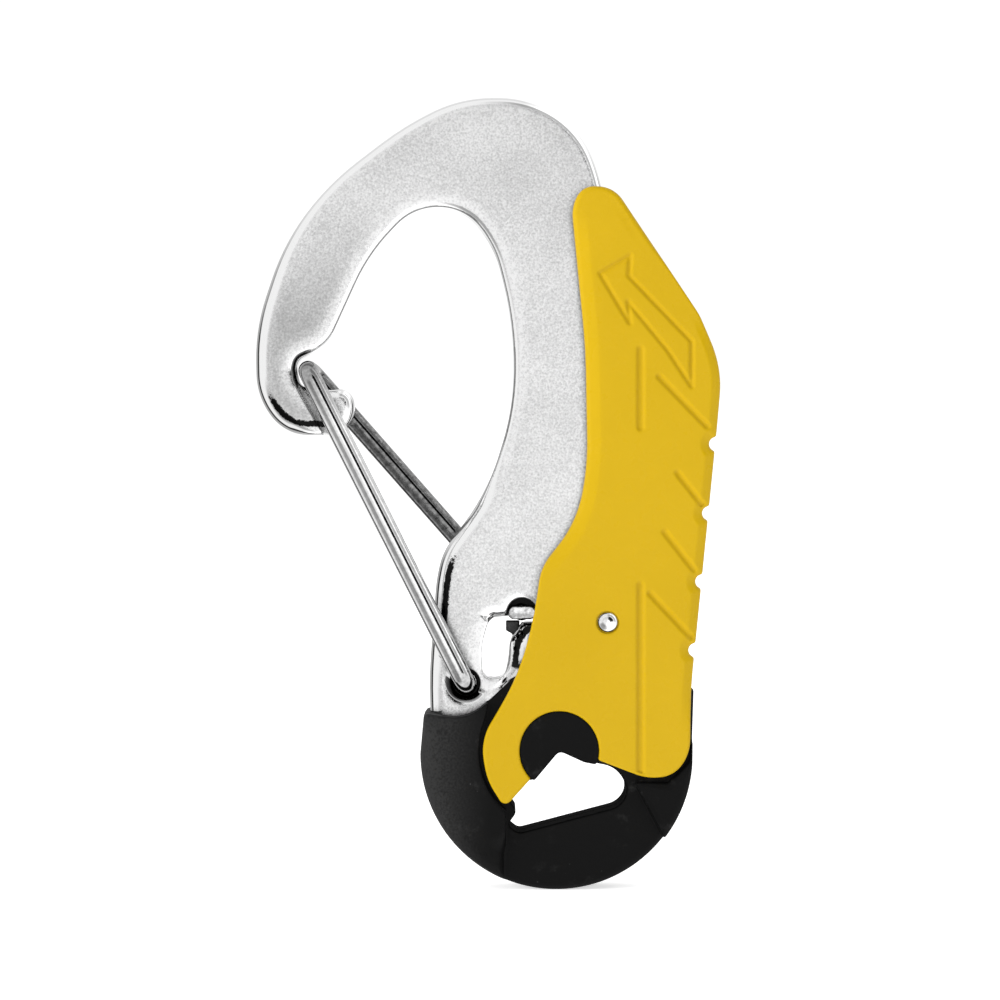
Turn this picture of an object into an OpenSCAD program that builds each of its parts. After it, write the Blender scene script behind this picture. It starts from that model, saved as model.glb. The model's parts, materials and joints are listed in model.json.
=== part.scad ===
// Double-action safety hook: a forged hook with a webbing eye in a moulded cover,
// a sprung wire gate, and a squeeze handle that frees the gate.
// X runs from the nose towards the handle, Z from the eye towards the crown, and
// Y through the thickness. The origin is the middle of the webbing slot.

/* [Hook body] */
// Thickness of the forged hook
plate_t = 9; // [8.4:0.2:9.4]
// Thickness of the hook's eye inside the moulded cover
eye_t = 6.4; // [5.6:0.2:7.2]
// Thickness of the tongue between the two legs of the gate
tongue_t = 6; // [5:0.5:7]
// Outside radius of the eye cover
cover_r = 25.4; // [25:0.1:26]
// Wall of the cover around the steel eye
cover_wall = 1.6; // [1.2:0.1:2]

/* [Gate] */
// Diameter of the gate wire
wire_d = 3.7; // [3.2:0.1:3.8]
// Angle that the gate opens, in degrees
gate_open = 28; // [10:1:28]
// Width of the flattened end of the gate wire
tail_w = 5.5; // [5:0.5:6]

/* [Handle] */
// Thickness of the handle over both cheeks
handle_t = 15; // [14.6:0.2:17]
// Thickness of the handle's back web
web_t = 2.6; // [2:0.2:3]
// Angle that the handle is squeezed, in degrees
squeeze = 5; // [3:0.5:5]
// Radius of the round pivot boss on the eye cover
boss_r = 7.3; // [7:0.1:7.4]
// Running clearance between the boss and the handle
boss_gap = 0.08; // [0.05:0.01:0.1]
// Radius of the rivet's shank
rivet_r = 1.3; // [1:0.1:1.4]
// Radius of the rivet's heads
rivet_head_r = 1.8; // [1.6:0.1:2]
// Depth of the moulded grooves and the arrow
engrave = 0.5; // [0.3:0.1:0.8]

/* [Return spring] */
// Outside diameter of the handle's return spring
spring_d = 6; // [5.6:0.2:7]
// Diameter of the spring's wire
spring_wire = 0.8; // [0.6:0.1:1]
// Number of turns
spring_turns = 7; // [5:1:8]

/* [Hidden] */
$fn = 96;

wire_r = wire_d / 2;
knuckle = 0.05;                     // how much fatter the wire is at its bends
bend_in = 0.3;                      // how far from a bend's middle a run stops
plate_y = plate_t / 2;
eye_y = eye_t / 2;
tongue_y = tongue_t / 2;
handle_y = handle_t / 2;
side_gap = 0.4;
cheek_y = plate_y + side_gap;       // inner faces of the handle's cheeks
seat_y = plate_y + 0.1;             // faces of the cover under the cheeks
free = 99;                          // a corner radius as large as its sides allow
past = 1;                           // how far a cutting shape runs past a face

// Places in the plane of the plate, as [x, z]
gate_at = [-19.6, 21.5];            // bore that the gate turns in
tail_at = [-9.1, 34.6];             // far end of the gate wire
nose_at = [-49.1, 80];              // where the wire crosses the nose
boss_at = [-2.2, 9.1];              // pivot of the handle
rivet_at = [6.8, 33];
cover_at = [-2.7, 8.2];             // centre of the cover's round end
spring_z = 57;

leg_y = plate_y + side_gap + wire_r;        // gate legs beside the spine
nose_y = leg_y - 0.25;                      // gate legs beside the tongue
tail_t = 1.5;                               // thickness of the flattened end
skin_y = -plate_y + 2.5;                    // rear face of the steel in front of it
tail_y = skin_y + 0.15;                     // its front face
tail_h = 2.6;                               // its height
recess_y = tail_y + tail_t + 0.15;          // floor of the recess for it
arch_low = tail_at[1] - tail_h / 2 - 0.2;   // lower edge of the arch that shows it
neck_r = 1.1;                               // the wire behind it, turned down
tail_reach = norm(tail_at - gate_at);
tail_turn = atan2(tail_at[0] - gate_at[0], tail_at[1] - gate_at[1]);
rivet_reach = norm(rivet_at - boss_at);
rivet_turn = atan2(rivet_at[0] - boss_at[0], rivet_at[1] - boss_at[1]);
slot_gap = 0.15;                            // clearance beside a pin in its slot
tooth_y = [1.9, 3.4];                       // faces of the lock tooth
pocket_y = 1.6;                             // floor of its pocket
bore_mouth_r = 2.6;                         // wider mouth of the gate's bore
bore_mouth_y = -plate_y + 2;                // and how deep it goes
washer_r = 2.9;
washer_t = 0.6;
head_sink = 0.6;                            // depth of the recess for the rivet's front head
head_gap = 0.2;                             // gap round that head
head_rise = [1.2, 1];                       // heights of the rivet's front and rear heads
spine_back = 5.9;                           // back edge of the spine at the spring
web_face = 23.2;                            // inner face of the web at the spring
spine_depth = 3;                            // how deep the peg sits in the spine
peg_bore = 8;                               // length of the tool that bores for it
peg_r = 1.7;
peg_end = 11;

// Each outline is a list of corners, [x, z, radius of the corner].
hook_outline = [
    [-44.2, 68, 1], [-53.4, 67.9, free], [-59, 75, free], [-59.3, 88, free],
    [-54, 103.8, free], [-45.4, 115.2, free], [-31, 126.2, free], [-20.5, 131.3, free],
    [-7.6, 131.3, free], [2.2, 125, free], [6.6, 113.4, free], [6.2, 90, free],
    [6, 62, free], [6, 47, free], [9.5, 36, free], [20.4, 21.5, 2], [21.2, 12, 4],
    [12, 4, 0], [-22, 4, 0], [-26.2, 13, 0], [-26.6, 22, free], [-25.2, 41, free],
    [-24, 46, free], [-15.5, 57.5, free], [-10.4, 74, free], [-10.8, 90, free],
    [-14.2, 103.6, free], [-19.8, 110.5, free], [-29.2, 110.9, free], [-37.8, 102, free],
    [-45.6, 84.8, free], [-51.8, 82.2, 2.2], [-51.2, 77.2, 1.8], [-45, 76.5, 1],
    [-42.8, 76.8, free], [-41, 75.4, free], [-40.5, 72.4, free], [-41.8, 69.5, free]];
groove_front = [
    [-51.8, 82.4, 2.2], [-51.6, 77.4, free], [-44.5, 65, 0], [-30, 65, 0], [-30, 82.4, 0]];
groove_rear = [
    [-51.8, 82.4, 2.2], [-51.6, 78.4, free], [-39.6, 65, 0], [-30, 65, 0], [-30, 82.4, 0]];
window_outline = [
    [-15.2, 33.6, 2], [-16.8, 28, free], [-16.4, 22.5, 2], [-12.6, 22.2, 2],
    [-11.7, 26, free], [-11.5, 29.6, free], [-9.2, 32.6, 1], [-9.2, 34, 0.5]];
// Room behind the window's right wall, open to the rear, that the lock tooth moves in
pocket_outline = [
    [-13, 33.6, 0.5], [-10, 33.6, 0.5], [-8, 29.6, 1], [-7.2, 23.4, 0.5], [-13, 23.4, 0.5]];
slot_outline = [
    [-12.2, 0.2, 0.4], [-9.9, -2.4, 1.4], [-11.8, -5, 0.8], [-9.8, -6.6, 1.6],
    [9.2, -1.6, free], [10.9, 1.5, free], [8.6, 5.8, free], [2.4, 7, 1.2],
    [-2.2, 9.1, 1.2], [-7, 3.4, 0.8], [-8.4, 3.3, 0.4]];
handle_outline = [
    [0.1, 110.5, free], [2.2, 114.3, free], [8, 114.1, free], [12.6, 107.2, free],
    [23.9, 90.2, 12], [28.2, 80.5, free], [27.3, 70, free], [22.3, 20, free],
    [22.1, 8.6, free], [19.2, 4.5, free], [14.2, 3.9, free], [5, 7.4, 0],
    [-2.2, 9.1, 0], [-7.9, 3.5, 0], [-12.4, -1.5, 1.2], [-15.6, 3.6, 12], [-16.9, 11, 12],
    [-10.2, 22.2, free], [-7, 33, free], [-5.6, 43.2, 10], [1, 51.6, free], [3.1, 62, free],
    [2.7, 84, free]];
cover_top = [
    [-28.1, 8.2, 0], [-27.4, 16.1, 0.8], [-19.2, 14.9, 8], [-10.4, 22.8, 6], [8, 25, 10],
    [21, 20.6, 0.5], [23.1, 20.6, 0.6], [22.7, 8.2, 0]];
// Where the cover is thin: under the webbing, and under the handle
webbing_seat = [
    [-12.1, 4], [-12.4, -30], [30, -30], [16.9, -6.5], [11.8, 3.3], [5, 6.4]];
handle_seat = [
    [-17.2, 10], [-15.8, 16], [-14.4, 23], [-6, 40], [40, 40], [40, 10.8], [22.4, 10.8],
    [22.1, 7], [18.2, 3], [11.4, 3.2], [-2, 9]];
handle_turning_r = 15;              // room round the boss for the end of the handle
// The hole in the steel eye: the webbing slot, wider by the cover's wall
eye_hole = [
    [-13.4, -1.6, 1], [-13, -6.4, 2], [-9, -8.6, 2], [10.4, -3.6, 3], [13, 1.6, 3],
    [9.8, 7.2, 3], [3.2, 8.6, 2], [-2, 11, 2], [-8.2, 5.2, 2], [-10.6, 4.6, 2]];
arrow = [
    [5.4, 97.9], [11, 101.2], [10.7, 97.5], [22.4, 85.3], [22.4, 76.9], [18, 83.6],
    [10.6, 92.6], [10.9, 88.7]];
arrow_line = 0.8;
// Where the rear cheek stops, to leave room for the gate's rear leg
leg_room = [
    [-20, 25.2], [-0.2, 25.2], [-0.2, 35], [-2.8, 47], [-20, 47]];
web_low = 28;                       // lower end of the handle's back web
web_high = 96;                      // its upper end
// The lock tooth, and its root on the rear cheek
tooth = [
    [-9.7, 24.1], [-8.3, 24.1], [-8.5, 27.6], [-9.6, 30.6], [-9.5, 32.9], [-12.1, 32.9],
    [-12.1, 31], [-11, 30.4], [-9.9, 27.2]];
tooth_root = [
    [-9.7, 24.1], [-8.3, 24.1], [-8.35, 25.1], [-9.73, 25.1]];
// Straight grooves on the front cheek, as [from, to, width]
grooves = [
    [[12.9, 83.8], [12.9, 69.3], 1.3], [[12.9, 40], [12.9, 5], 1.3],
    [[16.4, 78.7], [25.3, 69.5], 1.1], [[19.8, 60.8], [24.4, 54.9], 1.1],
    [[17.4, 49.8], [22.8, 42.9], 1.1], [[14.7, 38.4], [22.4, 30.2], 1.1]];
// Heights of the scallops on the handle's back edge
scallops = [66.2, 53.3, 40.6, 27.8];
scallop_r = 1.3;
back_edge = [22.5, 24];             // a point on the back edge between the scallops
back_lean = 0.1;                    // how far it leans out for each millimetre up

function unit(v) = v / norm(v);
function flat(p) = [p[0], p[1]];
function polar(reach, turn) = reach * [sin(turn), cos(turn)];

// Points along one rounded corner, in steps of at least 3 degrees and about 0.35 mm
function corner(before, at, after, r) =
    let (u = unit(before - at), w = unit(after - at),
         half = acos(u * w) / 2,
         room = 0.498 * min(norm(before - at), norm(after - at)),
         fit = min(r, room * tan(half)),
         centre = at + unit(u + w) * fit / sin(half),
         spoke = at + u * fit / tan(half) - centre,
         turn = (180 - 2 * half) * sign(cross(-u, w)),
         steps = max(2, ceil(min(abs(turn) / 3, abs(turn) * fit / 20))))
    r <= 0 ? [at] :
    [for (i = [0 : steps])
        let (a = turn * i / steps)
        centre + [spoke[0] * cos(a) - spoke[1] * sin(a), spoke[0] * sin(a) + spoke[1] * cos(a)]];

function rounded(outline) =
    let (last = len(outline) - 1)
    [for (i = [0 : last])
        each corner(flat(outline[i == 0 ? last : i - 1]), flat(outline[i]),
                    flat(outline[i == last ? 0 : i + 1]), outline[i][2])];

// A plate from y0 to y1 whose outline is drawn in X and Z
module plate(y0, y1) {
    translate([0, y1, 0]) rotate([90, 0, 0]) linear_extrude(y1 - y0) children();
}

module outline(points) {
    polygon(rounded(points));
}

// A round bar along Y
module bar_y(at, r, y0, y1) {
    translate([at[0], y1, at[1]]) rotate([90, 0, 0]) cylinder(r = r, h = y1 - y0);
}

// A straight run of the gate wire between two bends, ending just inside each
module wire_run(from, to) {
    run = to - from;
    translate(from + unit(run) * bend_in)
        rotate([0, acos(run[2] / norm(run)), atan2(run[1], run[0])])
            cylinder(r = wire_r, h = norm(run) - 2 * bend_in);
}

// Points along an arc about a centre, from one turn to another
function arc(centre, r, turn0, turn1, steps) =
    [for (i = [0 : steps]) centre + polar(r, turn0 + (turn1 - turn0) * i / steps)];

// The path of a pin that swings about a pivot: a bent slot with round ends
module pin_path(pivot, reach, r, turn0, turn1) {
    polygon(concat(
        arc(pivot, reach + r, turn0, turn1, 12),
        arc(pivot + polar(reach, turn1), r, turn1 + 10, turn1 + 170, 16),
        arc(pivot, reach - r, turn1, turn0, 12),
        arc(pivot + polar(reach, turn0), r, turn0 + 190, turn0 + 350, 16)));
}

// A groove with round ends, on the front face of the handle
module groove(from, to, w) {
    along = unit(to - from);
    side = [-along[1], along[0]] * w / 2;
    plate(-handle_y - past, -handle_y + engrave) {
        polygon([from + side, to + side, to - side, from - side]);
        translate(from) circle(w / 2);
        translate(to) circle(w / 2);
    }
}

// The outline of the eye cover: a round end under a shaped top
module cover_zone() {
    intersection() {
        translate(cover_at) circle(cover_r);
        translate([-40, -40]) square([80, 40 + cover_at[1]]);
    }
    outline(cover_top);
}

// The steel inside the cover
module steel_eye() {
    intersection() {
        union() {
            translate(cover_at) circle(cover_r - cover_wall);
            outline(hook_outline);
        }
        cover_zone();
    }
}

// The path of the gate's far end, for a part of it with radius r
module tail_path(r) {
    pin_path(gate_at, tail_reach, r + slot_gap, tail_turn - 0.6, tail_turn + gate_open + 0.6);
}

// The opening over the gate's flattened end
module tail_arch() {
    intersection() {
        translate(tail_at) circle(tail_w / 2 + slot_gap);
        translate([tail_at[0] - tail_w, arch_low]) square([2 * tail_w, tail_w]);
    }
}

module hook_body() {
    color("gainsboro") difference() {
        union() {
            plate(-plate_y, plate_y) difference() {
                outline(hook_outline);
                cover_zone();
            }
            plate(-eye_y, eye_y) steel_eye();
        }
        plate(-plate_y - past, plate_y + past) outline(eye_hole);
        plate(-plate_y - past, plate_y + past) outline(window_outline);
        plate(-plate_y - past, -tongue_y) outline(groove_front);
        plate(tongue_y, plate_y + past) outline(groove_rear);
        bar_y(gate_at, wire_r + 0.05, -plate_y - past, plate_y + past);
        plate(-plate_y - past, recess_y) tail_arch();
        plate(skin_y, recess_y) tail_path(tail_w / 2);
        plate(recess_y - tail_t / 2, plate_y + past) tail_path(neck_r);
        plate(-plate_y - past, plate_y + past)
            pin_path(boss_at, rivet_reach, rivet_r + slot_gap, rivet_turn - squeeze - 0.4, rivet_turn + 0.4);
        plate(pocket_y, plate_y + past) outline(pocket_outline);
        bar_y(gate_at, bore_mouth_r, -plate_y - past, bore_mouth_y);
        translate([spine_back - spine_depth, 0, spring_z]) rotate([0, 90, 0])
            cylinder(r = peg_r, h = peg_bore);
    }
}

module cover_face() {
    difference() {
        cover_zone();
        outline(slot_outline);
    }
}

// A plate on one side of the middle plane: side is -1 for the front, 1 for the rear
module side_plate(side, from, to) {
    plate(side < 0 ? -to : from, side < 0 ? -from : to) children();
}

module cover_half(side) {
    difference() {
        union() {
            side_plate(side, 0, seat_y) cover_face();
            side_plate(side, 0, handle_y) {
                raised_zones();
                difference() {
                    translate(boss_at) circle(boss_r);
                    outline(slot_outline);
                }
            }
        }
        plate(-eye_y, eye_y) difference() {
            steel_eye();
            outline(eye_hole);
        }
    }
}

// The thick parts of the cover, left and right of the webbing seat
module raised_zones() {
    difference() {
        cover_face();
        translate(boss_at) circle(handle_turning_r);
        polygon(webbing_seat);
        polygon(handle_seat);
    }
}

module eye_cover_front() {
    color([0.1, 0.1, 0.1]) cover_half(-1);
}

module eye_cover_rear() {
    color([0.13, 0.13, 0.13]) cover_half(1);
}

module gate_wire() {
    corners = [[gate_at[0], -leg_y, gate_at[1]], [nose_at[0], -nose_y, nose_at[1]],
               [nose_at[0], nose_y, nose_at[1]], [tail_at[0], leg_y, tail_at[1]]];
    color("silver") {
        bar_y(gate_at, wire_r, -leg_y + bend_in, plate_y - 0.3);
        bar_y(tail_at, neck_r, tail_y + tail_t / 2, leg_y - bend_in);
        for (i = [0 : 2]) wire_run(corners[i], corners[i + 1]);
        for (c = corners) translate(c) sphere(wire_r + knuckle);
        plate(tail_y, tail_y + tail_t) {
            translate(tail_at) square([tail_w - tail_h, tail_h], center = true);
            for (side = [-1, 1])
                translate(tail_at + [side * (tail_w - tail_h) / 2, 0]) circle(tail_h / 2);
        }
    }
}

module handle_face() {
    difference() {
        outline(handle_outline);
        translate(boss_at) circle(boss_r + boss_gap);
    }
}

module rear_face() {
    difference() {
        handle_face();
        polygon(leg_room);
    }
}

module web_zone() {
    intersection() {
        difference() {
            outline(handle_outline);
            translate([-web_t, 0]) outline(handle_outline);
        }
        translate([10, web_low]) square([30, web_high - web_low]);
    }
}

module scallop(z) {
    x = back_edge[0] + back_lean * (z - back_edge[1]);
    bar_y([x + 0.3, z], scallop_r, -handle_y - past, handle_y + past);
}

module handle() {
    color("gold") difference() {
        union() {
            plate(-handle_y, -cheek_y) handle_face();
            plate(cheek_y, handle_y) rear_face();
            plate(-cheek_y - 0.5, cheek_y + 0.5) web_zone();
            translate([web_face - 1, 0, spring_z]) rotate([0, 90, 0]) cylinder(r = peg_r, h = 2);
        }
        bar_y(rivet_at, rivet_r, -handle_y - past, handle_y + past);
        bar_y(rivet_at, rivet_head_r + head_gap, -handle_y - past, -handle_y + head_sink);
        for (g = grooves) groove(g[0], g[1], g[2]);
        for (i = [0 : len(arrow) - 1]) groove(arrow[i], arrow[(i + 1) % len(arrow)], arrow_line);
        for (z = scallops) scallop(z);
    }
}

module dome(r, h) {
    // a spherical cap of base radius r and height h, on the plane z = 0
    ball = (r * r + h * h) / (2 * h);
    intersection() {
        translate([0, 0, h - ball]) sphere(ball);
        cylinder(r = r + past, h = h + past);
    }
}

module handle_rivet() {
    color("lightgrey") {
        bar_y(rivet_at, rivet_r, -handle_y + head_sink, handle_y + washer_t);
        translate([rivet_at[0], -handle_y + head_sink, rivet_at[1]]) rotate([90, 0, 0])
            dome(rivet_head_r, head_rise[0]);
        translate([rivet_at[0], handle_y + washer_t, rivet_at[1]]) rotate([-90, 0, 0])
            dome(rivet_head_r, head_rise[1]);
    }
}

module rivet_washer() {
    color("silver") difference() {
        bar_y(rivet_at, washer_r, handle_y, handle_y + washer_t);
        bar_y(rivet_at, rivet_r, handle_y - past, handle_y + washer_t + past);
    }
}

module lock_tooth() {
    color("slategray") {
        plate(tooth_y[0], tooth_y[1]) polygon(tooth);
        plate(tooth_y[0], cheek_y) polygon(tooth_root);
    }
}

module spring_peg() {
    color("dimgray") translate([spine_back - spine_depth, 0, spring_z]) rotate([0, 90, 0])
        cylinder(r = peg_r, h = peg_end - spine_back + spine_depth);
}

module return_spring() {
    sides = 6;
    ring = 16;
    coil_r = spring_d / 2 - spring_wire / 2;
    start = spine_back + 0.1 + spring_wire / 2;
    end = web_face - 0.1 - spring_wire / 2;
    rings = ring * spring_turns;
    points = [for (i = [0 : rings]) let (a = 360 * i / ring, x = start + (end - start) * i / rings)
        for (k = [0 : sides - 1])
            let (t = 360 * k / sides, r = coil_r + spring_wire / 2 * cos(t))
            [x + spring_wire / 2 * sin(t), r * cos(a), spring_z + r * sin(a)]];
    faces = [for (i = [0 : rings - 1]) for (k = [0 : sides - 1])
        let (a = i * sides + k, b = i * sides + (k + 1) % sides)
        [a, b, b + sides, a + sides]];
    color("silver") polyhedron(points,
        concat([[for (k = [sides - 1 : -1 : 0]) k]], faces, [[for (k = [0 : sides - 1]) rings * sides + k]]));
}

hook_body();
eye_cover_front();
eye_cover_rear();
gate_wire();
handle();
handle_rivet();
rivet_washer();
lock_tooth();
spring_peg();
return_spring();
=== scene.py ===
"""The looks of a double-action safety hook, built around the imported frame."""
import json
import math

import bpy
import numpy as np
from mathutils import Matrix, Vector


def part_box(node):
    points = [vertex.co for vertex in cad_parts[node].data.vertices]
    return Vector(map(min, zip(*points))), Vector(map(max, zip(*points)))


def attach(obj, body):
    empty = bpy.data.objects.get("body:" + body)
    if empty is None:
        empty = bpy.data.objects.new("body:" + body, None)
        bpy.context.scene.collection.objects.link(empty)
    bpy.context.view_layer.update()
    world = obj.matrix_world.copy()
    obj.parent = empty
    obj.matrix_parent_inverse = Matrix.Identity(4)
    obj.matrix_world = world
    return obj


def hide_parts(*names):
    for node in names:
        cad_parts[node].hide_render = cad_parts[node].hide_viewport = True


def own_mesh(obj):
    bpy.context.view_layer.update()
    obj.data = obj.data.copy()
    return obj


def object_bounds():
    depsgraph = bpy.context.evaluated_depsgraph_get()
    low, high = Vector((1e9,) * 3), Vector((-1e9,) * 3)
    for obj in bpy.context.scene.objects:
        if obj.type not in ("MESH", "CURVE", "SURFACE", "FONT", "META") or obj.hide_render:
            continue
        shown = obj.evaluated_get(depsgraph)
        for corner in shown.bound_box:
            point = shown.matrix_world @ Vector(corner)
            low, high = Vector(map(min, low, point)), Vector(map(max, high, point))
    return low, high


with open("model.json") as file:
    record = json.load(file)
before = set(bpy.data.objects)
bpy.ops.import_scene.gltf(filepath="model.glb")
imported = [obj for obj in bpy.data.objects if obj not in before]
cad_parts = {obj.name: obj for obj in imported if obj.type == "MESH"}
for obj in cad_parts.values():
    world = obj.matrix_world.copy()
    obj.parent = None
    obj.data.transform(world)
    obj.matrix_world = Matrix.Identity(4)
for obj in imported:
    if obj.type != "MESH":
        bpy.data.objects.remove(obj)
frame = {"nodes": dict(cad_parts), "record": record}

import openvdb
from mathutils import Vector

cad_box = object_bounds()
MM = 0.001

# ---------------------------------------------------------------- the frame

RECORD = frame["record"]
BODY_OF = {node: body for body, nodes in RECORD["behaviour"]["bodies"].items()
           for node in nodes}
JOINTS = {joint["name"]: joint for joint in RECORD["behaviour"]["joints"]}
GATE_AT = [1000 * c for c in JOINTS["gate_hinge"]["pos_m"]]
BOSS_AT = [1000 * c for c in JOINTS["handle_squeeze"]["pos_m"]]


def box_mm(node):
    """The node's lowest and highest corners, in millimetres."""
    low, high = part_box(node)
    return np.array([1000 * c for c in low]), np.array([1000 * c for c in high])


def triangles_mm(node):
    """The node's triangles in millimetres, as an array of n x 3 corners x 3."""
    mesh = frame["nodes"][node].data
    mesh.calc_loop_triangles()
    points = np.empty(3 * len(mesh.vertices), dtype=np.float32)
    mesh.vertices.foreach_get("co", points)
    corners = np.empty(3 * len(mesh.loop_triangles), dtype=np.int32)
    mesh.loop_triangles.foreach_get("vertices", corners)
    return 1000 * points.reshape(-1, 3)[corners].reshape(-1, 3, 3).astype(np.float64)


def section(node, y):
    """The line segments where the plane at y cuts the node, as n x 2 ends x 2."""
    tris = triangles_mm(node)
    below = tris[:, :, 1] < y
    tris = tris[below.any(axis=1) & ~below.all(axis=1)]
    below = tris[:, :, 1] < y
    after = np.roll(tris, -1, axis=1)
    crosses = below != np.roll(below, -1, axis=1)
    rise = np.where(crosses, after[:, :, 1] - tris[:, :, 1], 1.0)
    share = (y - tris[:, :, 1]) / rise
    points = tris + share[:, :, None] * (after - tris)
    return points[crosses][:, [0, 2]].reshape(-1, 2, 2)


def round_bars(node, y):
    """Middles and radii of the round bars that the plane at y cuts, lowest first."""
    points = section(node, y).reshape(-1, 2)
    bars = []
    while len(points):
        near = np.hypot(*(points - points[0]).T) < 5
        low, high = points[near].min(axis=0), points[near].max(axis=0)
        bars.append(((low + high) / 2, (high[1] - low[1]) / 2))
        points = points[~near]
    return sorted(bars, key=lambda bar: bar[0][1])


# ------------------------------------------------- distance fields and solids
# A solid is a grid of distances to its surface, negative inside. It is made
# from the outlines that planes across Y cut out of a CAD node.

REACH = 8.0         # how far from an outline its distance is worked out, in mm


class Grid:
    """A box of evenly spaced sample points around some corners, in millimetres."""

    def __init__(self, low, high, step):
        self.step = step
        self.low = np.array(low) - 3 * step
        self.size = np.ceil((np.array(high) + 3 * step - self.low) / step).astype(int) + 1
        self.x, self.y, self.z = (low + step * np.arange(size)
                                  for low, size in zip(self.low, self.size))
        self.px, self.pz = np.meshgrid(self.x, self.z, indexing="ij")

    def outline(self, segments, blur=0.25):
        """Signed distance to closed outlines in X and Z, softened a little."""
        far = np.full((len(self.x), len(self.z)), REACH)
        toggles = np.zeros((len(self.x) + 1, len(self.z)), dtype=np.int32)
        for (ax, az), (bx, bz) in segments:
            self._near(far, ax, az, bx, bz)
            low, high = sorted((az, bz))
            rows = np.nonzero((self.z >= low) & (self.z < high))[0]
            if len(rows):
                cross = ax + (bx - ax) * (self.z[rows] - az) / (bz - az)
                np.add.at(toggles, (np.searchsorted(self.x, cross), rows), 1)
        inside = np.cumsum(toggles[:-1], axis=0) % 2 == 1
        return blurred(np.where(inside, -far, far), blur / self.step)

    def _near(self, far, ax, az, bx, bz):
        i0, i1 = np.searchsorted(self.x, (min(ax, bx) - REACH, max(ax, bx) + REACH))
        k0, k1 = np.searchsorted(self.z, (min(az, bz) - REACH, max(az, bz) + REACH))
        px = self.x[i0:i1, None] - ax
        pz = self.z[None, k0:k1] - az
        run = (bx - ax) ** 2 + (bz - az) ** 2
        if run == 0:
            return
        share = np.clip((px * (bx - ax) + pz * (bz - az)) / run, 0, 1)
        gap = np.hypot(px - share * (bx - ax), pz - share * (bz - az))
        np.minimum(far[i0:i1, k0:k1], gap, out=far[i0:i1, k0:k1])

    def disc(self, at, radius):
        """Signed distance to a disc in X and Z."""
        return np.hypot(self.px - at[0], self.pz - at[-1]) - radius

    def before(self, y):
        """Everything with a lower Y than y, which may differ from place to place."""
        return self.y.astype(np.float32)[None, :, None] - raised(y)

    def plate(self, flat, y0, y1, round0, round1):
        """An outline given thickness from y0 to y1, its edges rounded at each face."""
        front = rounded_and(raised(flat), -self.before(y0), raised(round0))
        return np.maximum(front, rounded_and(raised(flat), self.before(y1), raised(round1)))


def raised(values):
    """Flat values, or one number, ready to be used all through a solid."""
    values = np.asarray(values, dtype=np.float32)
    return values[:, None, :] if values.ndim == 2 else values


def blurred(field, sigma):
    """A flat field smoothed by a bell curve of the given width, in samples."""
    reach = max(1, int(3 * sigma))
    bell = np.exp(-0.5 * (np.arange(-reach, reach + 1) / sigma) ** 2)
    bell /= bell.sum()
    for axis in (0, 1):
        padding = [(reach, reach) if a == axis else (0, 0) for a in (0, 1)]
        padded = np.pad(field, padding, mode="edge")
        length = field.shape[axis]
        field = sum(weight * np.take(padded, range(k, k + length), axis=axis)
                    for k, weight in enumerate(bell))
    return field


def fade(values, start, end):
    """0 up to start and 1 from end on, with a smooth change between."""
    t = np.clip((values - start) / (end - start), 0, 1)
    return t * t * (3 - 2 * t)


def ramped(values, soft):
    """The values where they are above zero, with a soft start."""
    return soft * np.logaddexp(0, values / soft)


def rounded_and(a, b, radius):
    """The space in both solids, with the edge between them rounded."""
    a, b = a + radius, b + radius
    corner = np.hypot(np.maximum(a, 0), np.maximum(b, 0))
    return np.minimum(np.maximum(a, b), 0) + corner - radius


def joined(a, b, soft=0.0):
    """Two solids as one, with a fillet of about the given size between them."""
    if not soft:
        return np.minimum(a, b)
    mix = np.clip(0.5 + 0.5 * (b - a) / soft, 0, 1)
    return b + (a - b) * mix - soft * mix * (1 - mix)


def carved(a, b, soft=0.0):
    """The first solid without the second, with the new edges softened."""
    return -joined(-a, b, soft)


def sampled(field, at):
    """The field's values at points given in steps of its grid."""
    base = np.clip(np.floor(at).astype(int), 0, np.array(field.shape) - 2)
    part = at - base
    total = 0
    for corner in range(8):
        step = np.array([(corner >> k) & 1 for k in range(3)])
        weight = np.prod(np.where(step, part, 1 - part), axis=1)
        i, j, k = (base + step).T
        total = total + weight * field[i, j, k]
    return total


def mesh_from_solid(name, grid, solid, **marks):
    """A mesh of the solid's surface, in metres, with normals taken from the solid.

    Each mark is a field that a material can read by its name."""
    volume = openvdb.FloatGrid(REACH)
    volume.copyFromArray(np.ascontiguousarray(solid, dtype=np.float32))
    points, tris, quads = volume.convertToPolygons(isovalue=0.0)
    slopes = [np.gradient(solid, axis=k) for k in range(3)]
    normals = np.stack([sampled(slope, points) for slope in slopes], axis=1)
    normals /= np.maximum(np.linalg.norm(normals, axis=1, keepdims=True), 1e-9)
    faces = tris.tolist() + quads.tolist()
    mesh = bpy.data.meshes.new(name)
    mesh.from_pydata(((points * grid.step + grid.low) * MM).tolist(), [], faces)
    mesh.shade_smooth()
    mesh.normals_split_custom_set_from_vertices(normals.tolist())
    for mark, field in marks.items():
        field = np.broadcast_to(raised(field), solid.shape)
        values = sampled(field, points).astype(np.float32)
        mesh.attributes.new(mark, "FLOAT", "POINT").data.foreach_set("value", values)
    return mesh


# ------------------------------------------------------------- swept pieces

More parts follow.
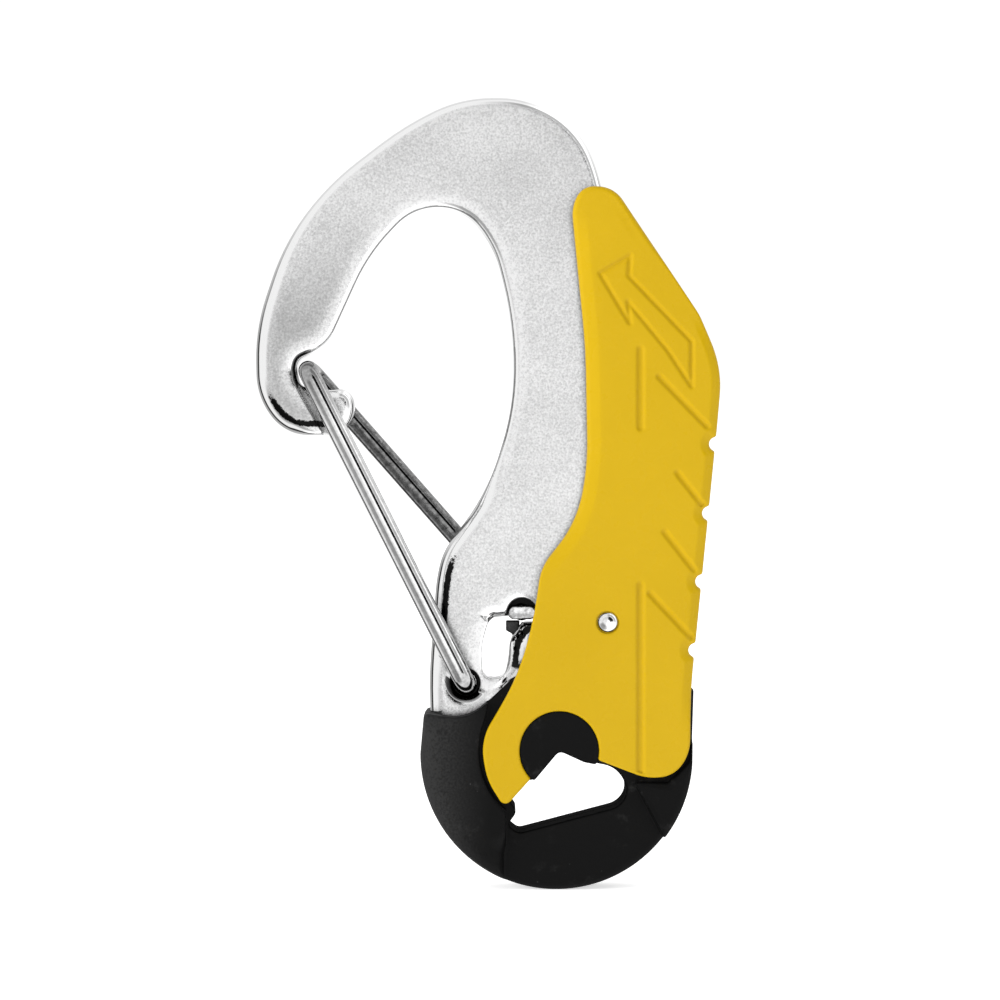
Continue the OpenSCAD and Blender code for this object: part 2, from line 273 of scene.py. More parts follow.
def filleted(corners, radii, step=4.0):
    """Points along a bent wire, each bend an arc of its own radius."""
    corners = [Vector(c) for c in corners]
    path = [corners[0]]
    for before, at, after, radius in zip(corners, corners[1:], corners[2:], radii):
        u, w = (before - at).normalized(), (after - at).normalized()
        half = u.angle(w) / 2
        bend = (u + w).normalized()
        centre = at + bend * (radius / math.sin(half))
        start = at + u * (radius / math.tan(half)) - centre
        end = at + w * (radius / math.tan(half)) - centre
        turn = start.angle(end)
        count = max(3, round(math.degrees(turn) / step))
        for i in range(count + 1):
            share = turn * i / count
            spoke = start * math.sin(turn - share) + end * math.sin(share)
            path.append(centre + spoke / math.sin(turn))
    return path + [corners[-1]]


def skin(name, rings, sides):
    """A closed mesh over rings of points, in millimetres, with the same number in each."""
    points = [tuple(point * MM) for ring in rings for point in ring]
    faces = []
    for i in range(len(rings) - 1):
        for k in range(sides):
            a, b = i * sides + k, i * sides + (k + 1) % sides
            faces.append((a, b, b + sides, a + sides))
    faces.append(tuple(range(sides))[::-1])
    faces.append(tuple((len(rings) - 1) * sides + k for k in range(sides)))
    mesh = bpy.data.meshes.new(name)
    mesh.from_pydata(points, [], faces)
    mesh.shade_smooth()
    return mesh


def spokes(side, across, sides):
    """Directions all round an axis."""
    turns = [math.tau * k / sides for k in range(sides)]
    return [side * math.cos(turn) + across * math.sin(turn) for turn in turns]


def swept(name, path, radii, sides=48):
    """A closed tube along a path, in millimetres, with a radius at each point."""
    along = [(b - a).normalized() for a, b in zip(path, path[1:])]
    turns = [(a + b).normalized() for a, b in zip(along, along[1:])]
    rings = []
    side = along[0].orthogonal().normalized()
    for at, axis, radius in zip(path, [along[0]] + turns + [along[-1]], radii):
        side = (side - axis * side.dot(axis)).normalized()
        rings.append([at + spoke * radius for spoke in spokes(side, axis.cross(side), sides)])
    return skin(name, rings, sides)


def round_ended(path, radius, cap=0.6):
    """A wire's path and radii with its two ends rounded off."""
    angles = [math.radians(a) for a in (88, 75, 60, 45, 30, 15)]
    steps = [(cap * (1 - math.sin(a)), radius - cap * (1 - math.cos(a))) for a in angles]
    first, last = (path[1] - path[0]).normalized(), (path[-1] - path[-2]).normalized()
    straight = [path[0] + first * cap] + path[1:-1] + [path[-1] - last * cap]
    rings = [(path[0] + first * d, r) for d, r in steps]
    rings += [(p, radius) for p in straight]
    rings += [(path[-1] - last * d, r) for d, r in reversed(steps)]
    return [p for p, _ in rings], [r for _, r in rings]


def turned(name, profile, at, axis, sides=96):
    """A turned solid: profile points are (radius, distance along the axis)."""
    axis = Vector(axis).normalized()
    side = axis.orthogonal().normalized()
    around = spokes(side, axis.cross(side), sides)
    rings = [[Vector(at) + axis * along + spoke * radius for spoke in around]
             for radius, along in profile]
    return skin(name, rings, sides)


def stand_in(name, mesh, material, node):
    """An object that stands for a CAD node and moves with its body."""
    piece = bpy.data.objects.new(name, mesh)
    bpy.context.scene.collection.objects.link(piece)
    mesh.materials.append(material)
    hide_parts(node)
    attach(piece, BODY_OF[node])
    return piece


# ---------------------------------------------------------------- materials

class Nodes:
    """Adds shader nodes to a tree. Any input may be a number, a colour or a socket."""

    def __init__(self, tree):
        self.tree = tree
        self.place = self.add("ShaderNodeTexCoord").outputs

    def add(self, kind, inputs=(), **settings):
        made = self.tree.nodes.new(kind)
        for key, value in settings.items():
            setattr(made, key, value)
        for key, value in dict(inputs).items():
            self.put(made, key, value)
        return made

    def put(self, node, key, value):
        if isinstance(value, bpy.types.NodeSocket):
            self.tree.links.new(value, node.inputs[key])
        else:
            node.inputs[key].default_value = value

    def math(self, operation, *values):
        return self.add("ShaderNodeMath", enumerate(values), operation=operation).outputs[0]

    def ramp(self, value, low, high, to_low=0.0, to_high=1.0, kind="LINEAR"):
        """The value remapped from one range to another, held at the ends."""
        values = enumerate((value, low, high, to_low, to_high))
        return self.add("ShaderNodeMapRange", values, interpolation_type=kind).outputs[0]

    def fade(self, value, low, high):
        return self.ramp(value, low, high, kind="SMOOTHSTEP")

    def mix(self, share, dark, light):
        """A colour between two others."""
        colours = {0: share, 6: dark, 7: light}
        return self.add("ShaderNodeMix", colours, data_type="RGBA").outputs[2]

    def noise(self, scale, detail=3.0, roughness=0.5):
        """Noise around 0.5, with features of 1 / scale metres."""
        inputs = {"Vector": self.place["Object"], "Scale": scale, "Detail": detail,
                  "Roughness": roughness}
        return self.add("ShaderNodeTexNoise", inputs).outputs[0]

    def mark(self, name):
        """A value that the mesh carries from point to point."""
        return self.add("ShaderNodeAttribute", attribute_name=name).outputs["Fac"]

    def bump(self, height, depth, under=None):
        """A normal for bumps of the given depth in millimetres."""
        inputs = {"Height": height, "Distance": depth * MM, "Strength": 1.0}
        if under is not None:
            inputs["Normal"] = under
        return self.add("ShaderNodeBump", inputs).outputs[0]


def grey(level):
    return (level, level, level, 1)


SOCKETS = {"metallic": "Metallic", "specular": "Specular IOR Level", "roughness": "Roughness",
           "glow": "Emission Strength", "glow_colour": "Emission Color"}


class Paint(Nodes):
    """A node material under construction."""

    def __init__(self, name, **settings):
        self.material = bpy.data.materials.new(name)
        self.material.use_nodes = True
        super().__init__(self.material.node_tree)
        self.shader = self.tree.nodes["Principled BSDF"]
        for key, value in settings.items():
            self.shader.inputs[SOCKETS[key]].default_value = value

    def where(self):
        """The X, Y and Z of each point at rest, in metres."""
        return self.add("ShaderNodeSeparateXYZ", {0: self.place["Object"]}).outputs

    def open_air(self, reach):
        """Ambient occlusion, used as painted shade: 1 in the open, less within reach (in
        millimetres) of a corner or another piece.
        """
        inputs = {"Distance": reach * MM}
        return self.add("ShaderNodeAmbientOcclusion", inputs, samples=8).outputs["AO"]

    def finish(self, colour, rough=None, normal=None):
        """Links the finished values to the shader."""
        self.put(self.shader, "Base Color", colour)
        if rough is not None:
            self.put(self.shader, "Roughness", rough)
        if normal is not None:
            self.put(self.shader, "Normal", normal)
        return self.material


def forged_steel():
    """Stainless steel with blasted faces and polished edges, and painted shade in its
    corners.

    The mesh marks how far a point is in from the outline, how sheltered it is, and
    where dark bands are painted beside the polished edge: painted reflection in the
    nose and along the spine, painted shade on the window's right wall."""
    paint = Paint("forged_steel", metallic=1.0)
    grain = paint.noise(2400, 3.0, 0.75)
    cloud = paint.math("SUBTRACT", paint.noise(60, 3.0), 0.5)
    across = paint.add("ShaderNodeSeparateXYZ", {0: paint.place["Normal"]}).outputs["Y"]
    face = paint.math("MULTIPLY_ADD", grain, 0.05, paint.math("ABSOLUTE", across))
    face = paint.fade(face, 0.955, 1.025)
    blasted = paint.mix(blasted_tone(paint, grain, cloud), grey(0.0), grey(1.0))
    colour = paint.mix(face, grey(0.95), blasted)
    # Painted shade: near black in corners, in sheltered places and in the painted dark bands
    # beside the edges.
    colour = paint.mix(unshaded_share(paint, grain), grey(0.012), colour)
    rough = paint.ramp(face, 0, 1, 0.07, 0.38)
    return paint.finish(colour, rough, paint.bump(paint.math("MULTIPLY", grain, face), 0.05))


def blasted_tone(paint, grain, cloud):
    """How bright the blasted faces are, with painted light and shade: brighter near the
    outline, darker inwards, and darkest in the nose.
    """
    # Painted light and shade: brighter near the outline and darker inwards, with random cloud
    # mixed in.
    inward_shade = paint.math("MULTIPLY_ADD", cloud, 1.6, paint.mark("inward"))
    tone = paint.ramp(inward_shade, 0.8, 3.2, 0.97, 0.81, kind="SMOOTHSTEP")
    x, _, z = paint.where()
    # Painted shade: darker still in the nose.
    nose = paint.math("MULTIPLY", paint.fade(z, 112 * MM, 86 * MM),
                      paint.fade(x, -30 * MM, -44 * MM))
    nose = paint.math("MULTIPLY", nose, paint.fade(inward_shade, 0.8, 4.5))
    tone = paint.math("MULTIPLY_ADD", nose, -0.28, tone)
    tone = paint.math("MULTIPLY_ADD", cloud, 0.35, tone)
    speckle = paint.ramp(grain, 0.3, 0.7, 0.70, 1.28)
    return paint.math("MINIMUM", paint.math("MULTIPLY", tone, speckle), 0.99)


def unshaded_share(paint, grain):
    """1 where the steel is unshaded, 0 in painted shade: corners, sheltered places and
    the painted dark bands beside the edges.
    """
    # Painted shade from ambient occlusion within 3.5 mm of corners and other pieces.
    light_share = paint.math("MULTIPLY_ADD", grain, 0.2, paint.open_air(3.5))
    light_share = paint.ramp(light_share, 0.45, 0.85)
    # Painted shade in the gate's bore and in the arch.
    sheltered = paint.ramp(paint.mark("sheltered"), 0.05, 0.5, 1.0, 0.0)
    light_share = paint.math("MULTIPLY", light_share, sheltered)
    # Painted dark bands beside the edges, ragged with the grain: painted reflection in the
    # nose and along the spine, painted shade on the window's right wall.
    ragged = paint.math("SUBTRACT", grain, 0.5)
    scale = paint.math("MULTIPLY_ADD", ragged, 1.8, paint.mark("scale"))
    return paint.math("MULTIPLY", light_share, paint.ramp(scale, 0.42, 0.58, 1.0, 0.0))


def drawn_wire():
    """Polished drawn wire with fine marks, and painted shade at its bends, behind the hook
    and near other pieces.
    """
    paint = Paint("wire_steel", metallic=1.0)
    marks = paint.noise(1100, 4.0, 0.7)
    spread = paint.ramp(marks, 0.3, 0.7)
    _, y, z = paint.where()
    # Painted shade: darker behind the hook and at the two bends, a shaded copy of the wire's
    # colour.
    behind = paint.ramp(y, -5.5 * MM, 2 * MM)
    far_bend = paint.ramp(z, 70 * MM, 81 * MM, 0.0, 0.85)
    near_bend = paint.ramp(z, 26 * MM, 20.5 * MM, 0.0, 0.75)
    wire_shade = paint.math("MAXIMUM", paint.math("MAXIMUM", behind, far_bend), near_bend)
    colour = paint.mix(wire_shade, paint.mix(spread, grey(0.66), grey(0.95)),
                       paint.mix(spread, grey(0.05), grey(0.34)))
    # Painted shade from ambient occlusion near corners and other pieces.
    colour = paint.mix(paint.ramp(paint.open_air(3), 0.4, 0.85), grey(0.01), colour)
    rough = paint.ramp(marks, 0.3, 0.7, 0.03, 0.12)
    return paint.finish(colour, rough, paint.bump(marks, 0.004))


def sheared_steel():
    """The pinched end of the wire: bright, with small dents."""
    paint = Paint("sheared_steel", metallic=1.0)
    dents = paint.noise(800, 3.0)
    grain = paint.noise(3500, 3.0)
    colour = paint.mix(paint.ramp(dents, 0.38, 0.62), grey(0.42), grey(0.92))
    rough = paint.ramp(grain, 0.3, 0.7, 0.2, 0.4)
    return paint.finish(colour, rough, paint.bump(grain, 0.012, paint.bump(dents, 0.06)))


def plain_steel(name, dark, light, smooth, dull, depth):
    """Steel between two shades of grey and two roughnesses."""
    paint = Paint(name, metallic=1.0)
    marks = paint.noise(2200, 3.0)
    colour = paint.mix(paint.ramp(marks, 0.3, 0.7), grey(dark), grey(light))
    rough = paint.ramp(marks, 0.3, 0.7, smooth, dull)
    return paint.finish(colour, rough, paint.bump(marks, depth))


def yellow_plastic():
    """Glossy moulded plastic with a faint orange-peel surface."""
    paint = Paint("handle_plastic", specular=0.15)
    peel = paint.noise(380, 2.0)
    speck = paint.noise(3500, 2.0)
    colour = paint.mix(paint.ramp(paint.noise(45, 3.0), 0.3, 0.7),
                       (0.525, 0.334, 0.003, 1), (0.556, 0.355, 0.004, 1))
    rough = paint.ramp(peel, 0.3, 0.7, 0.24, 0.34)
    return paint.finish(colour, rough, paint.bump(speck, 0.001, paint.bump(peel, 0.012)))


def black_plastic():
    """Satin moulded plastic with dust and scuffs, and a painted sheen on the left.

    The mesh marks the walls inside the webbing slot, which are dull and get painted shade."""
    paint = Paint("cover_plastic", specular=0.09)
    grain = paint.noise(2400, 3.0)
    spots = paint.noise(1500, 2.0)
    dust = paint.math("MULTIPLY", paint.ramp(paint.noise(260, 5.0, 0.75), 0.56, 0.72),
                      paint.ramp(paint.noise(110, 4.0), 0.45, 0.65))
    dust = paint.math("MAXIMUM", paint.math("MULTIPLY", dust, 0.5),
                      paint.ramp(spots, 0.74, 0.8))
    # Painted sheen: paler towards the left, speckled by the grain.
    left_sheen = paint.fade(paint.where()["X"], -14 * MM, -28 * MM)
    left_sheen = paint.math("MULTIPLY", left_sheen, paint.ramp(grain, 0.3, 0.7, 0.5, 1.5))
    inside = paint.mark("inside")
    colour = paint.mix(left_sheen, grey(0.0035), grey(0.024))
    colour = paint.mix(dust, colour, grey(0.05))
    # Painted shade on the walls inside the webbing slot.
    colour = paint.mix(inside, colour, grey(0.001))
    rough = paint.ramp(paint.math("ADD", grain, dust), 0.3, 1.2, 0.46, 0.7)
    rough = paint.math("MAXIMUM", rough, inside)
    return paint.finish(colour, rough, paint.bump(grain, 0.008))


def floor_paint():
    paint = Paint("pale_floor", roughness=0.9, specular=0.1, glow=0.6, glow_colour=grey(1.0))
    return paint.finish(paint.mix(paint.noise(3, 2.0), grey(0.93), grey(0.95)))


# ------------------------------------------------------------------- pieces

TONGUE = 3.0        # half the thickness of the tongue in the nose
SKIN = -2.0         # rear face of the steel in front of the gate's end
RECESS = -0.2       # floor of the recess for the gate's end
EYE = 3.2           # half the thickness of the steel inside the cover
BORE_MOUTH = -2.5   # floor of the wider mouth of the gate's bore
POCKET = 1.6        # floor of the lock tooth's pocket
THIN = 4.6          # half the thickness of the cover where webbing or handle runs over it
CHEEK = 4.9         # inner face of the handle's cheeks

# Middles of places on the hook, as X and Z
THROAT_AT, THROAT_HALF = (-29, 85), (23, 30)    # and half its width and height
WINDOW_AT = (-17, 27)
GROOVES_AT = (-46, 74)      # the two grooves that the gate's bend closes into
TAIL_ROOM_AT = (-5, 34)     # all the places that the gate's far end can be in
ARCH_AT = (-9, 33)          # the arch that shows the gate's far end
POCKET_AT = (-10, 28)
NOSE_CORNER_AT = (-52.5, 68.5)
SPINE_BAND_Z, WALL_BAND_Z = 36, 28.5


def hook_piece():
    """The forged hook, with what its material needs to know marked on its mesh."""
    low, high = box_mm("hook_body")
    grid = Grid(low, high, 0.2)
    face = high[1]
    front = grid.outline(section("hook_body", -face + 0.3))
    rear = grid.outline(section("hook_body", face - 0.3))
    core = grid.outline(section("hook_body", 0.0))
    body = np.minimum(np.minimum(front, rear), np.maximum(core, grid.pz - 26))
    solid = hook_cuts(grid, hook_plate(grid, body, face), front, rear, core)
    tongue = grid.plate(np.maximum(core, 64 - grid.pz), -TONGUE, TONGUE, 2.2, 2.2)
    solid = joined(solid, tongue, 0.2)
    # Marks for painted light and shade: inward sets the faces' painted brightness, sheltered
    # and scale the painted dark places.
    mesh = mesh_from_solid("hook_steel", grid, solid, inward=-body,
                           sheltered=hook_shelter(grid, front, face),
                           scale=hook_dark_bands(grid, front, core))
    stand_in("hook_steel", mesh, forged_steel(), "hook_body")


def throat_share(grid):
    """1 on an oval round the throat, and less inside it."""
    (x, z), (half_width, half_height) = THROAT_AT, THROAT_HALF
    return np.hypot((grid.px - x) / half_width, (grid.pz - z) / half_height)


def hook_plate(grid, body, face):
    """The hook as a plate: soft outer edges, smaller ones round the throat and window."""
    window = grid.disc(WINDOW_AT, 0)
    outer = 1.9 - 1.1 * fade(grid.pz, 92, 115)
    edge = 0.6 + outer * fade(throat_share(grid), 0.98, 1.15)
    edge = 0.4 + edge * fade(window, 5.8, 7.5)
    by_handle = fade(grid.px, -13.5, -11.5) * fade(-window, -9.5, -8.5)
    edge = edge + 1.1 * by_handle * fade(-grid.pz, -32, -30)
    cover = grid.outline(section("eye_cover_front", -3.9))
    crown = 0.3 * np.exp(np.minimum(body, 0) / 1.8)
    sink = crown + (face - EYE) * fade(-cover, 0.4, 1.0)
    return grid.plate(body, -face + sink, face - sink, edge, edge)


def hook_cuts(grid, solid, front, rear, core):
    """The hook with the nose's grooves, the gate's bore and recess and the pocket cut."""
    grooves = grid.disc(GROOVES_AT, 13)
    tail_room = grid.disc(TAIL_ROOM_AT, 14)
    path = grid.outline(section("hook_body", (SKIN + RECESS) / 2))
    path_depth = np.maximum(grid.before(RECESS), -grid.before(SKIN))
    bore_mouth = np.maximum(grid.disc(GATE_AT, 4), -front)
    pocket = np.maximum(grid.disc(POCKET_AT, 8), -rear - 0.25)
    for flat, depth, soft in (
            (np.maximum(-front, grooves), grid.before(-TONGUE), 0.25),
            (np.maximum(-rear, grooves), -grid.before(TONGUE), 0.25),
            (np.maximum(-front, tail_room), grid.before(RECESS), 0.25),
            (np.maximum(-core, tail_room), -grid.before(RECESS - 0.2), 0.2),
            (np.maximum(-path, tail_room), path_depth, 0.1),
            (bore_mouth, grid.before(BORE_MOUTH), 0.25),
            (pocket, -grid.before(POCKET), 0.25)):
        solid = carved(solid, np.maximum(raised(flat), depth), soft)
    return solid


def hook_shelter(grid, front, face):
    """1 below the front face in the gate's bore and in the arch, 0 elsewhere; the steel gets
    painted shade there.
    """
    arch = np.maximum(grid.disc(ARCH_AT, 5), -front)
    holes = np.minimum(grid.disc(GATE_AT, 2.75), arch)
    depth = fade(grid.y, -face + 0.15, -face + 1.0)[None, :, None]
    return raised(fade(-holes, -0.3, 0.1)) * depth


def hook_dark_bands(grid, front, core):
    """1 where dark bands are painted beside the edge: painted reflection in the nose and
    along the spine, painted shade on the window's right wall.
    """
    near_edge = fade(-core, 1.3, 1.7) * fade(core, -3.1, -2.2)
    near_edge = near_edge * np.maximum(fade(throat_share(grid), 1.06, 1.12),
                                       fade(-grid.pz, -71.5, -70.5))
    nose = fade(-grid.disc(NOSE_CORNER_AT, 0), -10, -5.5)
    spine = fade(-grid.px, 20, 21.5) * fade(-abs(grid.pz - SPINE_BAND_Z), -12, -6)
    wall = fade(-front, 0.7, 1.1) * fade(front, -2.3, -1.8)
    wall = wall * fade(grid.px, -12.4, -11.4) * fade(-grid.px, 5, 6)
    wall = wall * fade(-abs(grid.pz - WALL_BAND_Z), -5, -3.5)
    return np.maximum(near_edge * np.maximum(nose, spine), wall)


def cover_piece(node, side, material):
    """Half of the moulded eye cover. Side is -1 for the front, 1 for the rear."""
    low, high = box_mm(node)
    grid = Grid(low, high, 0.16)
    face = max(-low[1], high[1])
    seat = grid.outline(section(node, side * (THIN - 0.7)), 0.15)
    thick = grid.outline(section(node, side * (face - 0.4)), 0.2)
    from_middle = grid.disc((-2.7, 8.2), 0)
    left = fade(-grid.px, 4, 10)
    edge = (0.7 + 2.9 * left) * fade(from_middle, 17, 21) * fade(-grid.pz, -15.2, -12.5)
    edge = np.where(grid.disc(BOSS_AT, 7.3) < 2, 0.22, 0.6 + edge)
    rim = 0.25 + 0.9 * fade(from_middle, 17, 22)

    def half_plate(outline, outer, soft):
        """An outline given thickness from the parting plane to its outer face."""
        if side < 0:
            return grid.plate(outline, -outer, 0.0, soft, 0.25)
        return grid.plate(outline, 0.0, outer, 0.25, soft)

    solid = joined(half_plate(seat, THIN, rim), half_plate(thick, face, edge), 0.35)
    # Marks the walls inside the webbing slot, for their painted shade and dull roughness.
    near_slot = (abs(grid.px) < 14.5) & (abs(grid.pz) < 10)
    inside = np.where(near_slot, fade(seat, -0.45, -0.1), 0.0)
    mesh = mesh_from_solid(node, grid, solid, inside=inside)
    stand_in(node + "_shell", mesh, material, node)


def handle_piece():
    """The squeeze handle: two cheeks, a back web, grooves and an arrow."""
    low, high = box_mm("handle")
    grid = Grid(low, high, 0.2)
    face = high[1]
    front = grid.outline(section("handle", -face + 1.5), 0.2)
    engraved = grid.outline(section("handle", -face + 0.25), 0.12)
    rear = grid.outline(section("handle", face - 1.5), 0.2)
    web = grid.outline(section("handle", 0.0), 0.2)
    up, across = grid.pz, grid.px
    bevel = fade(up, 40, 47) * fade(-across, -13, -8) * fade(-up, -112, -102)
    back = fade(across, 14, 19) * fade(up, 12, 22) * fade(-up, -92, -82)
    crown = 0.6 * fade(up, 96, 106)
    edge = 0.35 + np.maximum(np.maximum(0.5 * bevel, 0.3 * back), crown)
    sink = 0.42 * fade(engraved, -0.3, 0.42) * (front < -0.6)
    sink += 0.34 * bevel * ramped(front + 2.5, 0.12) + 0.4 * back * ramped(front + 1.7, 0.08)
    solid = grid.plate(front, -face + sink, -CHEEK, edge, 0.15)
    solid = joined(solid, grid.plate(rear, CHEEK, face, 0.15, edge))
    solid = joined(solid, grid.plate(web, -CHEEK - 0.5, CHEEK + 0.5, 0.0, 0.0))
    (rivet, _), = round_bars("handle_rivet", 0.0)
    counterbore = np.maximum(raised(grid.disc(rivet, 2.05)), grid.before(-face + 0.6))
    solid = carved(solid, counterbore, 0.15)
    moulding = stand_in("handle_moulding", mesh_from_solid("handle_moulding", grid, solid),
                        yellow_plastic(), "handle")
    moulding.visible_glossy = False


def gate_piece():
    """The gate: one bent wire, and its pinched end in the hook's recess."""
    _, high = box_mm("gate_wire")
    (gate, radius), (tail, neck), (nose, _) = round_bars("gate_wire", 0.0)
    leg = high[1] - radius - 0.05
    nose_leg = leg - 0.25
    corners = [(gate[0], 4.2, gate[1]), (gate[0], -leg, gate[1]),
               (nose[0], -nose_leg, nose[1]), (nose[0], nose_leg, nose[1]),
               (tail[0], leg, tail[1]), (tail[0], -0.7, tail[1])]
    path, radii = round_ended(filleted(corners, (2.3, 2.3, 2.3, 1.95)), radius)
    bend = leg - 2.0
    past_bend = [p[2] > 30 and abs(p[0] - tail[0]) < 0.1 and p[1] < bend for p in path]
    first = past_bend.index(True)
    shoulder = [Vector((tail[0], bend - d, tail[1])) for d in (0.03, 0.12, 0.18)]
    path = path[:first] + shoulder + path[-1:]
    radii = radii[:first] + [radius, radius - 0.2, neck, neck]
    stand_in("gate_bent_wire", swept("gate_bent_wire", path, radii), drawn_wire(),
             "gate_wire")
    pinched_end(tail)


def pinched_end(tail):
    """The flattened end of the gate's wire, inside the hook."""
    front, rear = SKIN + 0.15, RECESS - 0.15
    outline = section("gate_wire", front + 0.4)
    outline = outline[np.hypot(*(outline.mean(axis=1) - tail).T) < 5]
    middle = np.array([tail[0], (front + rear) / 2, tail[1]])
    reach = np.array([3.2, 0.8, 1.6])
    grid = Grid(middle - reach, middle + reach, 0.06)
    solid = grid.plate(grid.outline(outline, 0.08), front, rear, 0.45, 0.2)
    stand_in("gate_pinched_end", mesh_from_solid("gate_pinched_end", grid, solid),
             sheared_steel(), "gate_wire")


def rivet_piece(material):
    """The rivet: a domed head at each end of its shank."""
    low, high = box_mm("handle_rivet")
    (middle, shank), = round_bars("handle_rivet", 0.0)
    head = (high[0] - low[0]) / 2
    front, rear = low[1], high[1]
    angles = [math.radians(a) for a in (2, 10, 20, 30, 40, 50, 60, 70, 80, 88)]
    dome = [(head * math.sin(a), 0.9 * (1 - math.cos(a))) for a in angles]
    profile = [(r, front + d) for r, d in dome]
    profile += [(head, front + 1.15), (shank, front + 1.2), (shank, rear - 1.0)]
    profile += [(head, rear - 0.95)] + [(r, rear - d) for r, d in reversed(dome)]
    mesh = turned("rivet_domed", profile, (middle[0], 0, middle[1]), (0, 1, 0))
    stand_in("rivet_domed", mesh, material, "handle_rivet")


def washer_piece(material):
    """The flat washer under the rivet's rear head."""
    low, high = box_mm("rivet_washer")
    (middle, shank), = round_bars("handle_rivet", 0.0)
    outer, y0, y1 = (high[0] - low[0]) / 2, low[1], high[1]
    soft = 0.15
    profile = [(shank, y0), (outer - soft, y0), (outer, y0 + soft), (outer, y1 - soft),
               (outer - soft, y1), (shank, y1)]
    mesh = turned("washer", profile, (middle[0], 0, middle[1]), (0, 1, 0))
    mesh.shade_flat()
    stand_in("washer", mesh, material, "rivet_washer")


def tooth_piece(material):
    """The lock tooth on the rear cheek, with softened edges."""
    low, high = box_mm("lock_tooth")
    grid = Grid(low, high, 0.08)
    blade = grid.outline(section("lock_tooth", low[1] + 0.4), 0.1)
    root = grid.outline(section("lock_tooth", high[1] - 0.7), 0.1)
    solid = grid.plate(blade, low[1], low[1] + 1.5, 0.3, 0.3)
    solid = joined(solid, grid.plate(root, low[1] + 0.2, high[1], 0.1, 0.0), 0.15)
    stand_in("tooth", mesh_from_solid("tooth", grid, solid), material, "lock_tooth")


def spring_piece(material):
    """The return spring, built as a fixed coil that does not shorten as the handle is
    squeezed.
    """
    low, high = box_mm("return_spring")
    middle = (low + high) / 2
    wire = 0.4
    coil = (high[1] - low[1]) / 2 - wire
    turns, steps = 7, 40
    start, end = low[0] + wire, high[0] - wire
    path = []
    for i in range(turns * steps + 1):
        share, turn = i / (turns * steps), math.tau * i / steps
        path.append(Vector((start + (end - start) * share,
                            middle[1] + coil * math.cos(turn),
                            middle[2] + coil * math.sin(turn))))
    path, radii = round_ended(path, wire, 0.1)
    spring = stand_in("spring_coil", swept("spring_coil", path, radii, 20), material,
                      "return_spring")
    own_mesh(spring)


def peg_piece(material):
    """The peg that the return spring sits on, with a chamfered end."""
    low, high = box_mm("spring_peg")
    radius, length = (high[1] - low[1]) / 2, high[0] - low[0]
    chamfer = 0.3
    profile = [(radius, 0), (radius, length - chamfer), (radius - chamfer, length)]
    at = (low[0], 0, (low[2] + high[2]) / 2)
    stand_in("peg", turned("peg", profile, at, (1, 0, 0), 48), material,
             "spring_peg")


# ------------------------------------------------------------ floor and light

def floor():
    """A plain pale floor under the hook."""
    low, _ = cad_box
    size, z = 4.0, low[2]
    mesh = bpy.data.meshes.new("floor")
    mesh.from_pydata([(-size, -size, z), (size, -size, z), (size, size, z), (-size, size, z)],
                     [], [(0, 1, 2, 3)])
    plane = bpy.data.objects.new("floor", mesh)
    bpy.context.scene.collection.objects.link(plane)
    mesh.materials.append(floor_paint())
    plane.visible_glossy = False


def tent_gaps(sky, x, z, front):
    """How far the tent is missing in each direction, seen from the hook.

    Front is 1 straight ahead of the hook's face and -1 straight behind it."""
    spread = sky.math("SQRT", sky.math("SUBTRACT", 1.0, sky.math("MULTIPLY", front, front)))
    spread = sky.math("MAXIMUM", spread, 0.001)
    high_right = sky.math("MULTIPLY_ADD", x, 0.7, sky.math("MULTIPLY", z, 0.7))
    high_right = sky.math("DIVIDE", high_right, spread)
    patch = sky.math("MULTIPLY", sky.fade(front, 0.15, 0.3), sky.fade(front, 0.72, 0.6))
    patch = sky.math("MULTIPLY", patch, sky.fade(high_right, 0.6, 0.85))
    streak = sky.math("MULTIPLY", sky.fade(front, 0.70, 0.74), sky.fade(front, 0.965, 0.945))
    streak = sky.math("MULTIPLY", streak, sky.fade(high_right, 0.7, 0.9))
    rear = sky.math("MULTIPLY", sky.fade(front, -0.25, -0.35),
                    sky.ramp(z, 0.15, 0.55, 1.0, 0.2))
    rear = sky.math("MULTIPLY", rear, sky.ramp(front, -0.5, -0.65, 1.0, 0.55))
    off_centre = sky.math("MAXIMUM", sky.fade(front, -0.985, -0.95), sky.fade(z, 0.03, 0.08))
    rear = sky.math("MULTIPLY", rear, off_centre)
    patch = sky.math("MULTIPLY", patch, 0.6)
    return sky.math("MAXIMUM", streak, sky.math("MAXIMUM", rear, patch))


def tent_light(sky, x, z, front):
    """How bright the tent's wall is: brighter to the right, and dimmed by a card low left."""
    slope = sky.math("MULTIPLY_ADD", x, 2.6, sky.math("MULTIPLY", z, -1.0))
    wall = sky.ramp(slope, -0.38, 0.15, 0.62, 1.15)
    wall = sky.math("ADD", wall, sky.math("MULTIPLY", sky.fade(front, 0.9, 0.7), 0.3))
    wall = sky.math("ADD", wall, sky.math("MULTIPLY", sky.fade(front, 0.8, 0.95), 0.33))
    low_left = sky.math("MULTIPLY_ADD", x, -0.55, sky.math("MULTIPLY", front, 0.62))
    low_left = sky.math("MULTIPLY_ADD", z, -0.56, low_left)
    card = sky.ramp(low_left, 0.8, 0.95, 1.0, 0.42, kind="SMOOTHSTEP")
    return sky.math("MULTIPLY", card, sky.math("MINIMUM", wall, 1.3))


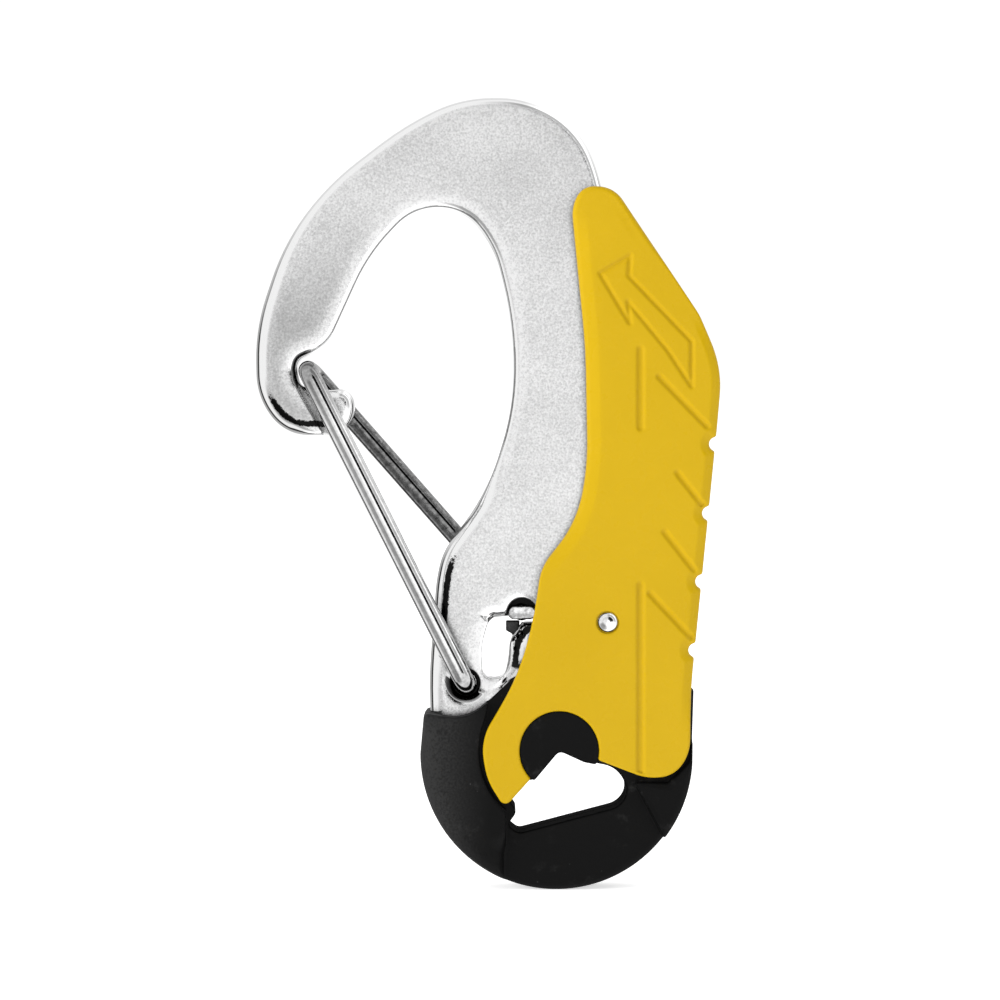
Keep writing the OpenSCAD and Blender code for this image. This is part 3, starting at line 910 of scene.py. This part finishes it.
def studio():
    """A white tent with darker gaps, which polished edges show as lines."""
    world = bpy.data.worlds.new("tent")
    bpy.context.scene.world = world
    world.use_nodes = True
    sky = Nodes(world.node_tree)
    x, y, z = sky.add("ShaderNodeSeparateXYZ", {0: sky.place["Generated"]}).outputs
    front = sky.math("MULTIPLY", y, -1.0)
    level = sky.math("MULTIPLY_ADD", tent_gaps(sky, x, z, front), -0.99, 1.0)
    level = sky.math("MULTIPLY", level, tent_light(sky, x, z, front))
    seen = sky.add("ShaderNodeLightPath").outputs["Is Camera Ray"]
    backdrop = sky.math("MULTIPLY", seen, 1.05)
    background = world.node_tree.nodes["Background"]
    sky.put(background, "Strength", sky.math("MAXIMUM", level, backdrop))
    sky.put(background, "Color", grey(1.0))


def lamp(name, at, size, power):
    """A large soft lamp aimed at the middle, that polished steel doesn't show."""
    low, high = cad_box
    aim = (Vector(low) + Vector(high)) / 2 - Vector(at)
    data = bpy.data.lights.new(name, "AREA")
    data.energy, data.size = power, size
    item = bpy.data.objects.new(name, data)
    item.location = at
    item.visible_glossy = False
    item.rotation_euler = aim.to_track_quat("-Z", "Y").to_euler()
    bpy.context.scene.collection.objects.link(item)


def camera():
    """Level with the hook and straight in front of it."""
    distance, right, up = 0.44, -0.01323, 0.05577
    data = bpy.data.cameras.new("camera")
    data.lens = 83.8
    data.clip_start, data.clip_end = 0.01, 20
    item = bpy.data.objects.new("camera", data)
    item.location = (right, -distance, up)
    item.rotation_euler = (math.radians(90), 0, 0)
    bpy.context.scene.collection.objects.link(item)
    bpy.context.scene.camera = item
    bpy.context.scene.view_settings.view_transform = "Standard"


hook_piece()
cover_plastic = black_plastic()
cover_piece("eye_cover_front", -1, cover_plastic)
cover_piece("eye_cover_rear", 1, cover_plastic)
handle_piece()
gate_piece()
polished = plain_steel("fastener_steel", 0.78, 0.94, 0.05, 0.12, 0.003)
rivet_piece(polished)
washer_piece(polished)
dull_steel = plain_steel("tooth_steel", 0.03, 0.10, 0.35, 0.5, 0.02)
tooth_piece(dull_steel)
spring_piece(plain_steel("spring_steel", 0.45, 0.66, 0.18, 0.3, 0.006))
peg_piece(dull_steel)
floor()
studio()
lamp("left", (-0.62, -0.32, 0.22), 0.4, 3.0)
camera()
